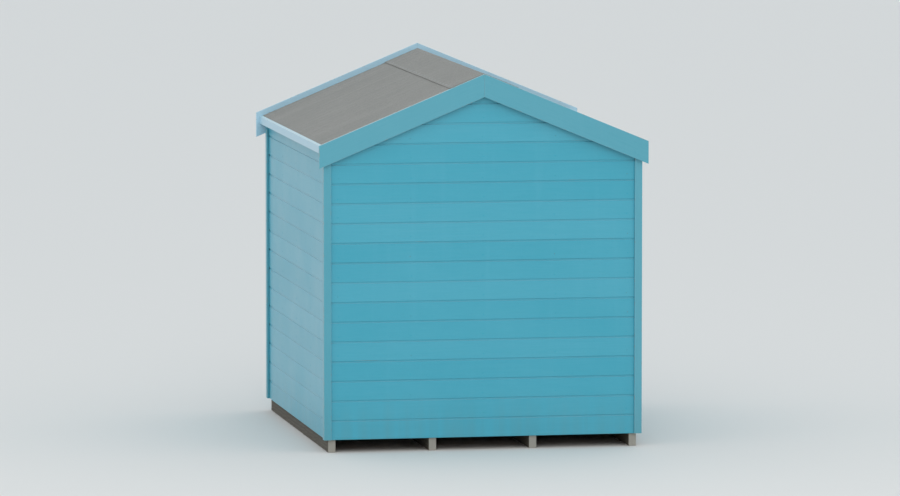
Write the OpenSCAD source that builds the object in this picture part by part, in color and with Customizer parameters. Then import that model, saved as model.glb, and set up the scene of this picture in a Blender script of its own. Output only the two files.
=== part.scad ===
// A timber beach hut: a boarded box with a gable at each end, on four bearers,
// with a low felted roof and a pair of ledged and braced doors.
// Millimetres. X runs across the gables, Y from the doors to the back, Z up.
// The origin is on the ground under the middle of the hut.

/* [Overall] */
// Width of the hut over its side boarding
body_w = 2100; // [1750:10:2700]
// Depth of the hut over its front and back boarding
body_d = 2400; // [1900:10:3600]
// Height from the ground to the underside of the roof, at the outside of a side wall
eaves_h = 2030; // [1850:10:2450]
// Slope of the roof, in degrees
pitch = 22.5; // [15:0.5:32]

/* [Base and floor] */
// Height of the bearers, which leaves a gap under the gables
bearer_h = 95; // [75:5:150]
// Width of a bearer
bearer_w = 50; // [40:5:100]
// Height of a floor joist
joist_h = 70; // [45:5:120]
// Width of a floor joist
joist_w = 45; // [35:1:60]
// Spaces between the floor joists
joist_bays = 8; // [4:1:12]
// Thickness of the floor boards
floor_t = 20; // [16:1:28]
// How far the boarding laps down over the bearers
board_lap = 10; // [0:1:30]

/* [Frame] */
// Width and depth of the studs, plates, ties and rafters
stud = 45; // [38:1:63]
// Spaces between the studs of a side wall
side_bays = 4; // [2:1:6]
// Spaces between the studs of the back wall
back_bays = 4; // [2:1:6]
// Depth of the ridge beam under its shoulders
ridge_depth = 95; // [70:5:150]
// Depth of a purlin under its lower edge
purlin_depth = 70; // [60:5:100]
// Distance of a purlin from the middle of the hut
purlin_x = 520; // [400:10:650]

/* [Boarding] */
// Thickness of the wall boarding
clad_t = 16; // [12:1:22]
// Width of each leg of a corner trim
trim_w = 50; // [40:1:75]
// Thickness of a corner trim
trim_t = 16; // [12:1:22]

/* [Roof] */
// Thickness of the roof boards
deck_t = 16; // [12:1:22]
// How far the roof boards pass the side boarding
eaves_over = 30; // [20:5:80]
// How far the roof boards pass the gable boarding
gable_over = 30; // [20:5:80]
// Thickness of the roofing felt
felt_t = 3; // [2:0.5:5]
// Reach of the felt cap down each side of the ridge
cap_reach = 230; // [150:10:350]
// Depth of a back barge board, square to the slope
barge_h = 140; // [105:5:170]
// Depth of a front barge board, square to the slope
front_barge_h = 155; // [120:5:200]
// How far a front barge board stands up from the felt
front_barge_rise = 35; // [0:5:75]
// How far a front barge board passes the eaves boards
front_barge_reach = 25; // [0:5:50]
// Thickness of the barge boards and the eaves boards
barge_t = 18; // [15:1:25]
// Depth of an eaves board
eaves_board_h = 50; // [45:5:120]

/* [Doors] */
// Clear width between the door posts
door_w = 1200; // [1000:10:1250]
// Width of a door post
post_w = 60; // [50:1:75]
// Width and height of the rebate that the doors close into
rebate = 20; // [15:1:25]
// Thickness of the door boards, which is also the depth of the rebate
door_t = 20; // [16:1:25]
// Running gap round each door leaf
door_gap = 3; // [2:0.5:6]
// Thickness of the ledges and braces on the back of a leaf
ledge_t = 20; // [16:1:28]
// Width of a ledge, and of a brace along the ledge
ledge_w = 95; // [75:5:120]
// Height of the door head above its rebate
head_face = 45; // [35:1:50]
// Thickness of the door sill
sill_t = 35; // [25:1:45]
// How far the sill passes the front boarding
sill_nose = 25; // [10:1:40]
// Fall of the sill's top towards its nose
sill_fall = 7; // [3:1:12]

/* [Ironwork] */
// Length of a hinge strap, from the knuckle to its tip
strap_l = 320; // [200:10:400]
// Width of a hinge strap at the knuckle
strap_w = 36; // [25:1:45]
// Thickness of the straps and plates
iron_t = 3; // [2:0.5:5]
// Radius of a hinge knuckle
knuckle_r = 6; // [4:0.5:8]
// Height of a hinge knuckle and of the plate on the post
knuckle_l = 90; // [60:5:120]
// Height of the hasp above the floor
hasp_z = 900; // [700:10:1100]
// Length of the hasp
hasp_l = 110; // [80:5:140]
// Width of the hasp
hasp_w = 38; // [30:1:50]

/* [Hidden] */

// Outside faces of the boarding, of the frame behind it, and of the room inside
half_w = body_w / 2;
half_d = body_d / 2;
frame_x = half_w - clad_t;
frame_y = half_d - clad_t;
room_x = frame_x - stud;
room_y = frame_y - stud;

// Heights
floor_z = bearer_h + joist_h + floor_t;
joist_top = bearer_h + joist_h;
board_foot = bearer_h - board_lap;
sole_top = floor_z + stud;

// Underside of the roof boards over the right-hand half, for x from 0 outwards
function roof_under(x) = eaves_h + (half_w - x) * tan(pitch);
deck_v = deck_t / cos(pitch);
felt_v = felt_t / cos(pitch);
roof_v = deck_v + felt_v;

plate_z = roof_under(frame_x) - stud;
tie_top = plate_z + stud;
ridge_half = stud / 2;
ridge_bottom = roof_under(ridge_half) - ridge_depth;
purlin_in = purlin_x - stud / 2;
purlin_out = purlin_x + stud / 2;
purlin_bottom = roof_under(purlin_out) - purlin_depth;
rafter_v = stud / cos(pitch);

// Edges of the roof boards, and outside faces of the barge and eaves boards
deck_x = half_w + eaves_over;
deck_y = half_d + gable_over;
skin_x = deck_x + felt_t;
skin_y = deck_y + felt_t;
roof_x = skin_x + barge_t;
roof_y = skin_y + barge_t;

// Bearers, from the left edge to the right
bearer_step = (2 * frame_x - bearer_w) / 3;
joist_step = (2 * frame_y - joist_w) / joist_bays;
side_step = (2 * frame_y - stud) / side_bays;
back_step = (2 * room_x - stud) / back_bays;

// Door opening
door_x = door_w / 2;
jamb_x = door_x + post_w;
door_face = frame_y + door_t;
head_z = plate_z - stud;
head_top = head_z + rebate + head_face;
leaf_in = door_gap / 2;
leaf_out = door_x + rebate - door_gap;
leaf_foot = floor_z + door_gap;
leaf_top = head_z + rebate - door_gap;
sill_z = floor_z - sill_t;

// Ledges: three to a leaf, the outer ones one ledge in from the ends
ledge_inset = 30;
ledge_in = leaf_in + ledge_inset;
ledge_out = door_x - 2 * door_gap;
ledge_low = leaf_foot + ledge_w;
ledge_high = leaf_top - 2 * ledge_w;
ledge_step = (ledge_high - ledge_low) / 2;
strap_tip_w = strap_w * 0.6;
hinge_x = door_x + rebate - door_gap / 2;
staple_r = 11;
staple_wire = 3;

// Small overlap that lets one shape cut cleanly through another
cut = 1;

// Colours
paint = [0.31, 0.64, 0.72];
timber = [0.72, 0.58, 0.42];
felt_grey = [0.56, 0.58, 0.58];
zinc = [0.62, 0.64, 0.66];

// A box between two corners
module block(low, high) translate(low) cube(high - low);

// An outline in X and Z, drawn out along Y
module along_y(low, high) translate([0, high, 0]) rotate([90, 0, 0]) linear_extrude(high - low) children();

// An outline in Y and Z, drawn out along X
module along_x(low, high) translate([low, 0, 0]) rotate([90, 0, 90]) linear_extrude(high - low) children();

module mirror_x() mirror([1, 0, 0]) children();
module mirror_y() mirror([0, 1, 0]) children();

module both_sides() {
    children();
    mirror_x() children();
}

module both_ends() {
    children();
    mirror_y() children();
}

// A strip that follows the right-hand slope, from low to high above the underside of the roof boards
module slope_band(x_in, x_out, low, high) polygon([
    [x_in, roof_under(x_in) + low],
    [x_out, roof_under(x_out) + low],
    [x_out, roof_under(x_out) + high],
    [x_in, roof_under(x_in) + high]
]);

// The outline of a gable from a level line up to the roof boards
module gable_outline(x_out, foot) polygon([
    [-x_out, foot],
    [x_out, foot],
    [x_out, roof_under(x_out)],
    [0, roof_under(0)],
    [-x_out, roof_under(x_out)]
]);

module bearer(index) {
    x = bearer_step * index - frame_x;
    color(timber) block([x, -frame_y, 0], [x + bearer_w, frame_y, bearer_h]);
}

module floor_joists() color(timber)
    for (i = [0 : joist_bays])
        let (y = joist_step * i - frame_y)
            block([-frame_x, y, bearer_h], [frame_x, y + joist_w, joist_top]);

module floor_boards() color(timber)
    block([-frame_x, -frame_y, joist_top], [frame_x, frame_y, floor_z]);

module side_sole_plates() color(timber)
    both_sides() block([room_x, -frame_y, floor_z], [frame_x, frame_y, sole_top]);

module end_sole_plates() color(timber) {
    block([-room_x, room_y, floor_z], [room_x, frame_y, sole_top]);
    both_sides() block([jamb_x, -frame_y, floor_z], [room_x, -room_y, sole_top]);
}

module side_studs() color(timber)
    both_sides()
        for (i = [0 : side_bays])
            let (y = side_step * i - frame_y)
                block([room_x, y, sole_top], [frame_x, y + stud, plate_z]);

module end_studs() color(timber) {
    for (i = [0 : back_bays])
        let (x = back_step * i - room_x)
            block([x, room_y, sole_top], [x + stud, frame_y, plate_z]);
    both_sides()
        for (x = [jamb_x, room_x - stud])
            block([x, -frame_y, sole_top], [x + stud, -room_y, plate_z]);
}

module wall_plates() color(timber)
    both_sides() along_y(-frame_y, frame_y) polygon([
        [room_x, plate_z],
        [frame_x, plate_z],
        [frame_x, roof_under(frame_x)],
        [room_x, roof_under(room_x)]
    ]);

module gable_ties() color(timber)
    both_ends() block([-room_x, room_y, plate_z], [room_x, frame_y, tie_top]);

// A short rafter that ends on the tie has the bottom of its foot cut level
module foot_rafter() {
    level_x = half_w - (tie_top + rafter_v - eaves_h) / tan(pitch);
    polygon([
        [purlin_out, roof_under(purlin_out) - rafter_v],
        [level_x, tie_top],
        [room_x, tie_top],
        [room_x, roof_under(room_x)],
        [purlin_out, roof_under(purlin_out)]
    ]);
}

// Posts stand on the ties under the ridge beam and the purlins, with short rafters between them
module gable_framing() color(timber) both_ends() {
    block([-ridge_half, room_y, tie_top], [ridge_half, frame_y, ridge_bottom]);
    both_sides() {
        block([purlin_in, room_y, tie_top], [purlin_out, frame_y, purlin_bottom]);
        along_y(room_y, frame_y) slope_band(ridge_half, purlin_in, -rafter_v, 0);
        along_y(room_y, frame_y) foot_rafter();
    }
}

module ridge_beam() color(timber) along_y(-deck_y, deck_y) gable_outline(ridge_half, ridge_bottom);

module purlins() color(timber)
    both_sides() along_y(-deck_y, deck_y) polygon([
        [purlin_in, purlin_bottom],
        [purlin_out, purlin_bottom],
        [purlin_out, roof_under(purlin_out)],
        [purlin_in, roof_under(purlin_in)]
    ]);

// Right-hand edge of the gable boarding, notched for the purlin and the ridge beam
function gable_edge(foot) = [
    [frame_x, foot],
    [frame_x, roof_under(frame_x)],
    [purlin_out, roof_under(purlin_out)],
    [purlin_out, purlin_bottom],
    [purlin_in, purlin_bottom],
    [purlin_in, roof_under(purlin_in)],
    [ridge_half, roof_under(ridge_half)],
    [ridge_half, ridge_bottom]
];

// Boarding of a gable: the edge, then the same edge back down the left side
module gable_boarding(foot) {
    edge = gable_edge(foot);
    last = len(edge) - 1;
    along_y(frame_y, half_d) polygon(concat(edge, [for (i = [0 : last]) [-edge[last - i].x, edge[last - i].y]]));
}

module back_wall() color(paint) gable_boarding(board_foot);

module front_gable() color(paint) mirror_y() gable_boarding(head_top);

module side_wall() color(paint) along_y(-half_d, half_d) polygon([
    [frame_x, board_foot],
    [half_w, board_foot],
    [half_w, roof_under(half_w)],
    [frame_x, roof_under(frame_x)]
]);

module front_wall() color(paint) block([jamb_x, -half_d, board_foot], [frame_x, -frame_y, head_top]);

module front_apron() color(paint) block([-jamb_x, -half_d, board_foot], [jamb_x, -frame_y, sill_z]);

module roof_deck() color(timber) along_y(-deck_y, deck_y) slope_band(0, deck_x, 0, deck_v);

// A sheet of felt over one slope, folded down over the three free edges of the roof boards
module felt() color(felt_grey) difference() {
    along_y(-skin_y, skin_y) slope_band(0, skin_x, 0, roof_v);
    along_y(-deck_y, deck_y) slope_band(-cut, deck_x, -cut, deck_v);
}

// A strip of felt bent over the ridge
module felt_cap() color(felt_grey) along_y(-skin_y, skin_y) polygon([
    [-cap_reach, roof_under(cap_reach) + roof_v],
    [0, roof_under(0) + roof_v],
    [cap_reach, roof_under(cap_reach) + roof_v],
    [cap_reach, roof_under(cap_reach) + roof_v + felt_v],
    [0, roof_under(0) + roof_v + felt_v],
    [-cap_reach, roof_under(cap_reach) + roof_v + felt_v]
]);

// Plumb cut at the ridge and at the foot, with its top edge level with the felt or standing up from it
module barge(depth, rise, x_out) {
    top = roof_v + rise / cos(pitch);
    color(paint) along_y(skin_y, roof_y) slope_band(0, x_out, top - depth / cos(pitch), top);
}

module back_barge() barge(barge_h, 0, roof_x);

module front_barge() mirror_y() barge(front_barge_h, front_barge_rise, roof_x + front_barge_reach);

module eaves_board() color(paint) along_y(-skin_y, skin_y) polygon([
    [skin_x, roof_under(roof_x) + roof_v - eaves_board_h],
    [roof_x, roof_under(roof_x) + roof_v - eaves_board_h],
    [roof_x, roof_under(roof_x) + roof_v],
    [skin_x, roof_under(skin_x) + roof_v]
]);

// An angle over the back right-hand corner, its top cut to the slope of the roof
module corner_trim() color(paint) intersection() {
    translate([0, 0, board_foot]) linear_extrude(eaves_h) polygon([
        [half_w + trim_t, half_d + trim_t],
        [half_w + trim_t - trim_w, half_d + trim_t],
        [half_w + trim_t - trim_w, half_d],
        [half_w, half_d],
        [half_w, half_d + trim_t - trim_w],
        [half_w + trim_t, half_d + trim_t - trim_w]
    ]);
    along_y(0, roof_y) slope_band(0, roof_x, -eaves_h, 0);
}

// Level under the doors, then weathered down to the nose
module door_sill() color(paint) along_x(-jamb_x, jamb_x) polygon([
    [-frame_y, sill_z],
    [-half_d - sill_nose, sill_z],
    [-half_d - sill_nose, floor_z - sill_fall],
    [-door_face, floor_z],
    [-frame_y, floor_z]
]);

module door_posts() color(paint) both_sides() difference() {
    block([door_x, -door_face, floor_z], [jamb_x, -room_y, head_z]);
    block([door_x - cut, -door_face - cut, floor_z - cut], [door_x + rebate, -frame_y, head_z + cut]);
}

// Rebated below for the leaves, and checked out above to fit under the gable tie
module door_head() color(paint) difference() {
    block([-jamb_x, -door_face, head_z], [jamb_x, -room_y, head_top]);
    block([-door_x - rebate, -door_face - cut, head_z - cut], [door_x + rebate, -frame_y, head_z + rebate]);
    block([-jamb_x - cut, -frame_y, plate_z], [jamb_x + cut, -room_y + cut, head_top + cut]);
}

// A brace rises from the hinge side of one ledge to the free side of the next
module brace(low, high) along_y(-frame_y, -frame_y + ledge_t) polygon([
    [ledge_out - ledge_w, low],
    [ledge_out, low],
    [ledge_in + ledge_w, high],
    [ledge_in, high]
]);

module door_leaf() color(paint) {
    block([leaf_in, -door_face, leaf_foot], [leaf_out, -frame_y, leaf_top]);
    for (i = [0 : 2])
        let (z = ledge_low + ledge_step * i)
            block([ledge_in, -frame_y, z], [ledge_out, -frame_y + ledge_t, z + ledge_w]);
    for (i = [0 : 1])
        let (z = ledge_low + ledge_step * i)
            brace(z + ledge_w, z + ledge_step);
}

// A tapered strap on the leaf, a plate on the post, and the knuckle between them
module strap_hinge(z) {
    plate_x = jamb_x - knuckle_r;
    translate([0, 0, z]) {
        along_y(-door_face - iron_t, -door_face) {
            polygon([
                [hinge_x, -strap_w / 2],
                [hinge_x, strap_w / 2],
                [hinge_x - strap_l, strap_tip_w / 2],
                [hinge_x - strap_l, -strap_tip_w / 2]
            ]);
            translate([hinge_x - strap_l, 0]) circle(d = strap_tip_w, $fn = 32);
            translate([hinge_x, -knuckle_l / 2]) square([plate_x - hinge_x, knuckle_l]);
        }
        translate([hinge_x, -door_face - knuckle_r, -knuckle_l / 2])
            cylinder(r = knuckle_r, h = knuckle_l, $fn = 32);
    }
}

module strap_hinges() color(zinc)
    both_sides()
        for (i = [0 : 2]) strap_hinge(ledge_low + ledge_step * i + ledge_w / 2);

// A hinged flap on the right leaf, over a staple on the left one
module door_hasp() color(zinc) translate([0, -door_face, floor_z + hasp_z]) {
    flap_x = -hasp_l / 2;
    staple_x = flap_x + hasp_w / 2;
    plate_w = hasp_w + knuckle_r;
    along_y(-iron_t, 0) {
        translate([staple_x, 0]) circle(d = hasp_w, $fn = 48);
        translate([staple_x, -hasp_w / 2]) square([hasp_l, hasp_w]);
        translate([staple_x + hasp_l, -hasp_w / 2 - knuckle_r]) square([plate_w, hasp_w + 2 * knuckle_r]);
    }
    translate([staple_x + hasp_l, -knuckle_r, -hasp_w / 2]) cylinder(r = knuckle_r, h = hasp_w, $fn = 32);
    translate([staple_x, -iron_t, 0]) rotate([0, 90, 0]) rotate([0, 0, 180])
        rotate_extrude(angle = 180, $fn = 48) translate([staple_r, 0]) circle(r = staple_wire, $fn = 24);
}

bearer(0);  // bearer_left
bearer(1);  // bearer_inner_left
bearer(2);  // bearer_inner_right
bearer(3);  // bearer_right
floor_joists();
floor_boards();
side_sole_plates();
end_sole_plates();
side_studs();
end_studs();
wall_plates();
gable_ties();
gable_framing();
ridge_beam();
purlins();
back_wall();
mirror_x() side_wall();  // left_wall
side_wall();  // right_wall
mirror_x() front_wall();  // front_wall_left
front_wall();  // front_wall_right
front_gable();
front_apron();
mirror_x() roof_deck();  // roof_deck_left
roof_deck();  // roof_deck_right
mirror_x() felt();  // felt_left
felt();  // felt_right
felt_cap();
mirror_x() front_barge();  // barge_front_left
front_barge();  // barge_front_right
mirror_x() back_barge();  // barge_back_left
back_barge();  // barge_back_right
mirror_x() eaves_board();  // eaves_board_left
eaves_board();  // eaves_board_right
mirror_x() mirror_y() corner_trim();  // corner_trim_front_left
mirror_y() corner_trim();  // corner_trim_front_right
mirror_x() corner_trim();  // corner_trim_back_left
corner_trim();  // corner_trim_back_right
door_sill();
door_posts();
door_head();
mirror_x() door_leaf();  // door_leaf_left
door_leaf();  // door_leaf_right
strap_hinges();
door_hasp();
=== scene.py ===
# %% [markdown]
# This lesson finishes a timber beach hut whose frame, walls, roof and doors are already modelled at their
# real size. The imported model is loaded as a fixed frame, in metres, and every new piece takes its place
# from it. The hut is seen from behind: the back gable, one long side, and one slope of a low felted roof.

# %% Load the frame
import math
import random

import bmesh
import bpy
from mathutils import Matrix, Vector, noise


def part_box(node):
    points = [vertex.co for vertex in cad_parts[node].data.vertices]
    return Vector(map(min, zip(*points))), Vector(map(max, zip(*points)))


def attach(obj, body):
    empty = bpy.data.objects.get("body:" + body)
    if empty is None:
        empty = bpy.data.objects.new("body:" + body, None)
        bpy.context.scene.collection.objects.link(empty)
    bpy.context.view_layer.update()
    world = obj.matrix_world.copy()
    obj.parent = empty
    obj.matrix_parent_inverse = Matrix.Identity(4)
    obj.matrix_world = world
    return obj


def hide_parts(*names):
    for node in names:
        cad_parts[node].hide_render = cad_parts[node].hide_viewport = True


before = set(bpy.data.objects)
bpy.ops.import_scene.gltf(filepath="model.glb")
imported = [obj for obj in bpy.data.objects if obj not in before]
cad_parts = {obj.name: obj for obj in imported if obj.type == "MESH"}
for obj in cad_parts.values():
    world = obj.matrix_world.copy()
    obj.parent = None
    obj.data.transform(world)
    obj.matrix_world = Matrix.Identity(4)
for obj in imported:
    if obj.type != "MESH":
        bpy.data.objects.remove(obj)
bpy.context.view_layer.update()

# %% [markdown]
# The sizes of the hut come from the boxes of its nodes, so the looks follow the construction when that
# changes. Only the slope of the roof is written again here, because a box can't tell a slope from a step.
# DECK_V and FELT_V are the thicknesses of the roof boards and of the felt, measured straight up.

# %% Read the sizes of the hut
HALF_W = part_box("right_wall")[1].x
HALF_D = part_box("back_wall")[1].y
FRAME_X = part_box("back_wall")[1].x
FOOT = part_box("back_wall")[0].z
BOARD_T = HALF_W - FRAME_X
FLOOR_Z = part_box("floor_boards")[1].z
PITCH = math.radians(22.5)
FALL = math.tan(PITCH)
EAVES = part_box("right_wall")[1].z - BOARD_T * FALL
RIDGE = EAVES + HALF_W * FALL
DECK_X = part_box("roof_deck_right")[1].x
DECK_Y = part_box("roof_deck_right")[1].y
DECK_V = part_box("roof_deck_right")[1].z - RIDGE
FELT_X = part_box("felt_right")[1].x
FELT_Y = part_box("felt_right")[1].y
FELT_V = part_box("felt_right")[1].z - RIDGE - DECK_V
HALF_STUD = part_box("ridge_beam")[1].x
JOINT = 0.001
print("walls", [round(2 * half, 3) for half in (HALF_W, HALF_D)], "ridge", round(RIDGE, 3))


def under(x):
    """Height of the underside of the roof boards over x."""
    return EAVES + (HALF_W - abs(x)) * FALL


# %% [markdown]
# Blender makes a material from nodes. These helpers keep each finish short: one adds a node and fills or
# links its inputs, one mixes two colours, and one stretches a value from one range to another.

# %% Helpers for materials
def add(tree, kind, inputs=None, **settings):
    """Adds a node, then fills or links the inputs that are given by name or number."""
    made = tree.nodes.new("ShaderNode" + kind)
    for name, value in settings.items():
        setattr(made, name, value)
    for name, value in (inputs or {}).items():
        if isinstance(value, bpy.types.NodeSocket):
            tree.links.new(value, made.inputs[name])
        else:
            made.inputs[name].default_value = value
    return made


def mix(tree, share, first, second, how="MIX"):
    """Mixes two colours, each a link or four numbers, and returns the result's socket."""
    made = add(tree, "Mix", {0: share, 6: first, 7: second}, data_type="RGBA", blend_type=how)
    return made.outputs[2]


def spread(tree, value, low, high, to_low=0.0, to_high=1.0):
    """Stretches a value from low..high to to_low..to_high and clamps it there."""
    made = add(tree, "MapRange", {0: value, 1: low, 2: high, 3: to_low, 4: to_high})
    return made.outputs[0]


def maths(tree, how, first, second=0.0):
    """One sum of two values."""
    return add(tree, "Math", {0: first, 1: second}, operation=how).outputs[0]


# %% Helpers for patterns
def scaled(tree, vector, scale):
    """Stretches coordinates by three factors, so that a pattern runs long one way and short the other."""
    return add(tree, "Mapping", {"Vector": vector, "Scale": scale}).outputs[0]


def cloud(tree, vector, scale, detail=3.0, rough=0.5):
    """A soft random pattern from 0 to 1, scale cells to the metre."""
    inputs = {"Vector": vector, "Scale": scale, "Detail": detail, "Roughness": rough}
    return add(tree, "TexNoise", inputs).outputs[0]


def new_material(name):
    """An empty material, its tree and its shader."""
    made = bpy.data.materials.new(name)
    made.use_nodes = True
    return made, made.node_tree, made.node_tree.nodes["Principled BSDF"]


def bump(tree, shader, height, depth):
    """Raises the surface by up to depth metres where height is 1."""
    made = add(tree, "Bump", {"Height": height, "Strength": 1.0, "Distance": depth})
    tree.links.new(made.outputs[0], shader.inputs["Normal"])


def rgb(red, green, blue):
    """A colour as it is read off a screen, 0 to 255, turned into the light that a shader wants."""
    part = [c / 255 for c in (red, green, blue)]
    return [c / 12.92 if c < 0.04045 else ((c + 0.055) / 1.055) ** 2.4 for c in part] + [1.0]


# %% [markdown]
# Every board carries two values of its own. "grain" says where a point lies along, across and through its
# board, so that the grain turns with the board. "tone" is one random number for the whole board, because
# no two take paint alike. A pattern on Object coordinates alone would run straight through the joints. A
# board is sawn along the grain, so the direction of its longest edge gives it.

# %% Mark the grain of each board
def boards_of(bm):
    """The vertices of each separate board, in the order of their numbers, so that every run is the same."""
    seen = set()
    for start in bm.verts:
        if start in seen:
            continue
        seen.add(start)
        board = [start]
        for vert in board:
            for edge in vert.link_edges:
                other = edge.other_vert(vert)
                if other not in seen:
                    seen.add(other)
                    board.append(other)
        yield board


def longest_way(board):
    """The direction of a board's longest edge, always counted the same way round."""
    edges = dict.fromkeys(edge for vert in board for edge in vert.link_edges)
    ways = [edge.verts[1].co - edge.verts[0].co for edge in edges]
    way = max(ways, key=lambda w: round(w.length, 4))
    return way if max(way, key=abs) > 0 else -way


def mark_grain(bm, seed):
    """Gives each board its grain and its tone."""
    draw = random.Random(seed)
    grain = bm.verts.layers.float_vector.new("grain")
    tone = bm.verts.layers.float.new("tone")
    for board in boards_of(bm):
        turn = longest_way(board).rotation_difference(Vector((1, 0, 0))).to_matrix()
        shift = Vector((draw.uniform(0, 9), draw.uniform(0, 9), draw.uniform(0, 9)))
        shade = draw.uniform(0, 1)
        for vert in board:
            vert[grain] = turn @ vert.co + shift
            vert[tone] = shade


# %% [markdown]
# Beach huts are painted with a satin exterior paint. Brush marks and raised grain run along each board,
# the sheen is broken by salt and sun, and the lowest boards are darker towards the foot. Faces that look
# up are painted paler, partly for paint that the sun has bleached and partly as a painted highlight of the
# sky. A thin coat over the colour makes a wall shine pale where it is seen at a low angle, as the long
# side is. The walls are teal, the trims are a shade greyer, and the front barge boards and the eaves
# boards are pale. The finish is the same on all of them, so one function makes the three paints.

# %% Painted timber
COVER = 0.130
TEAL = rgb(24, 165, 189)
TRIM_TEAL = rgb(60, 161, 180)
PALE_TEAL = rgb(172, 212, 230)
CHALK_AND_SKY_HIGHLIGHT = rgb(176, 206, 210)
BARE_WOOD = rgb(150, 140, 122)
GRIME_AND_SHADE = rgb(86, 112, 108)


def bleached_and_skylit_tops(tree, colour, amount):
    """Paint that faces the sky goes chalky in the sun, and is painted paler as a highlight of the sky on
    it.
    """
    facing = add(tree, "SeparateXYZ", {0: add(tree, "NewGeometry").outputs["Normal"]}).outputs[2]
    # Painted highlight: faces that look up are mixed towards a pale colour, as sky light would show on
    # them.
    return mix(tree, spread(tree, facing, 0.35, 0.9, 0.0, amount), colour, CHALK_AND_SKY_HIGHLIGHT)


def painted(name, base, courses, bleach_and_highlight):
    """Satin paint on timber. With courses, the joints get dirt and painted shade, and the lower edges wear.
    """
    made, tree, shader = new_material(name)
    grain = add(tree, "Attribute", attribute_name="grain").outputs["Vector"]
    tone = add(tree, "Attribute", attribute_name="tone").outputs["Fac"]
    place = add(tree, "TexCoord").outputs["Object"]
    up = add(tree, "SeparateXYZ", {0: place}).outputs[2]
    brush = cloud(tree, scaled(tree, grain, (5, 190, 190)), 1.0, 4.0, 0.6)
    patches = cloud(tree, place, 1.7, 4.0, 0.6)
    runs = cloud(tree, scaled(tree, place, (16, 16, 0.9)), 1.0, 3.0)
    darker = [0.90 * c for c in base[:3]] + [1.0]
    paler = [1.0 - 0.93 * (1.0 - c) for c in base[:3]] + [1.0]
    colour = mix(tree, spread(tree, tone, 0, 1, 0.3, 0.7), darker, paler)
    colour = mix(tree, spread(tree, patches, 0.35, 0.7, 0.0, 0.35), colour, paler)
    colour = mix(tree, spread(tree, brush, 0.35, 0.75, 0.0, 0.30), colour, darker)
    colour = mix(tree, spread(tree, runs, 0.55, 0.8, 0.0, 0.20), colour, paler)
    # Darker towards the foot: the lowest 0.32 metres of each wall are mixed towards dark grey-green in
    # noisy runs.
    darker_foot = maths(tree, "MULTIPLY", spread(tree, up, FOOT + 0.32, FOOT), spread(tree, runs, 0.3, 0.7))
    colour = mix(tree, maths(tree, "MULTIPLY", darker_foot, 0.22), colour, GRIME_AND_SHADE)
    if courses:
        colour = courses_worn_and_shaded(tree, colour, up, brush)
    colour = chipped(tree, bleached_and_skylit_tops(tree, colour, bleach_and_highlight), place)
    tree.links.new(colour, shader.inputs["Base Color"])
    tree.links.new(spread(tree, patches, 0.3, 0.7, 0.33, 0.48), shader.inputs["Roughness"])
    shader.inputs["Coat Weight"].default_value = 0.44
    shader.inputs["Coat Roughness"].default_value = 0.3
    bump(tree, shader, brush, 0.0006)
    return made


# %% Chips on the edges of the trims
def chipped(tree, colour, place):
    """Paint is thinnest on an edge. Where "worn" is 1 it goes chalky, and here and there it is gone."""
    worn = add(tree, "Attribute", attribute_name="worn").outputs["Fac"]
    colour = mix(tree, maths(tree, "MULTIPLY", worn, 0.2), colour, CHALK_AND_SKY_HIGHLIGHT)
    chips = spread(tree, cloud(tree, place, 34.0, 5.0, 0.65), 0.57, 0.62, 0.0, 0.7)
    return mix(tree, maths(tree, "MULTIPLY", worn, chips), colour, BARE_WOOD)


# %% Dirt and painted shade in the hollows, and wear on the lower edges
def courses_worn_and_shaded(tree, colour, up, brush):
    """The hollow above each face gets dirt and painted shade, and paint thins on the edge that water drips
    from.
    """
    course = maths(tree, "FRACT", maths(tree, "DIVIDE", maths(tree, "SUBTRACT", up, FOOT), COVER))
    hollow = spread(tree, course, 0.91, 0.95, 0.0, 0.04)
    # Painted shade, with some dirt: the hollow under each lap is mixed towards a dark grey-green.
    colour = mix(tree, hollow, colour, GRIME_AND_SHADE)
    edge = spread(tree, course, 0.030, 0.010, 0.0, 1.0)
    thin = maths(tree, "MULTIPLY", edge, spread(tree, brush, 0.60, 0.68))
    return mix(tree, maths(tree, "MULTIPLY", thin, 0.5), colour, BARE_WOOD)


BOARDING_PAINT = painted("boarding paint", TEAL, True, 0.3)
TRIM_PAINT = painted("trim paint", TRIM_TEAL, False, 0.7)
PALE_PAINT = painted("pale trim paint", PALE_TEAL, False, 0.7)
print("paint", [m.name for m in (BOARDING_PAINT, TRIM_PAINT, PALE_PAINT)])

# %% [markdown]
# Sawn softwood shows pale and dark rings, which run as long stripes on a face and as arcs on a cut end. A
# pattern of rings in three dimensions gives both from one texture. A knot is a branch that was sawn
# through: a dark spot, a little longer along the grain, that the rings bend round. Timber under the floor
# stays damp and goes dark, and below the floor boards it is painted darker still, as painted shade for
# the space under the hut. The cut ends of the bearers, which stand in the weather, go pale grey.

# %% Bare timber
KNOT = rgb(122, 84, 54)


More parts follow.
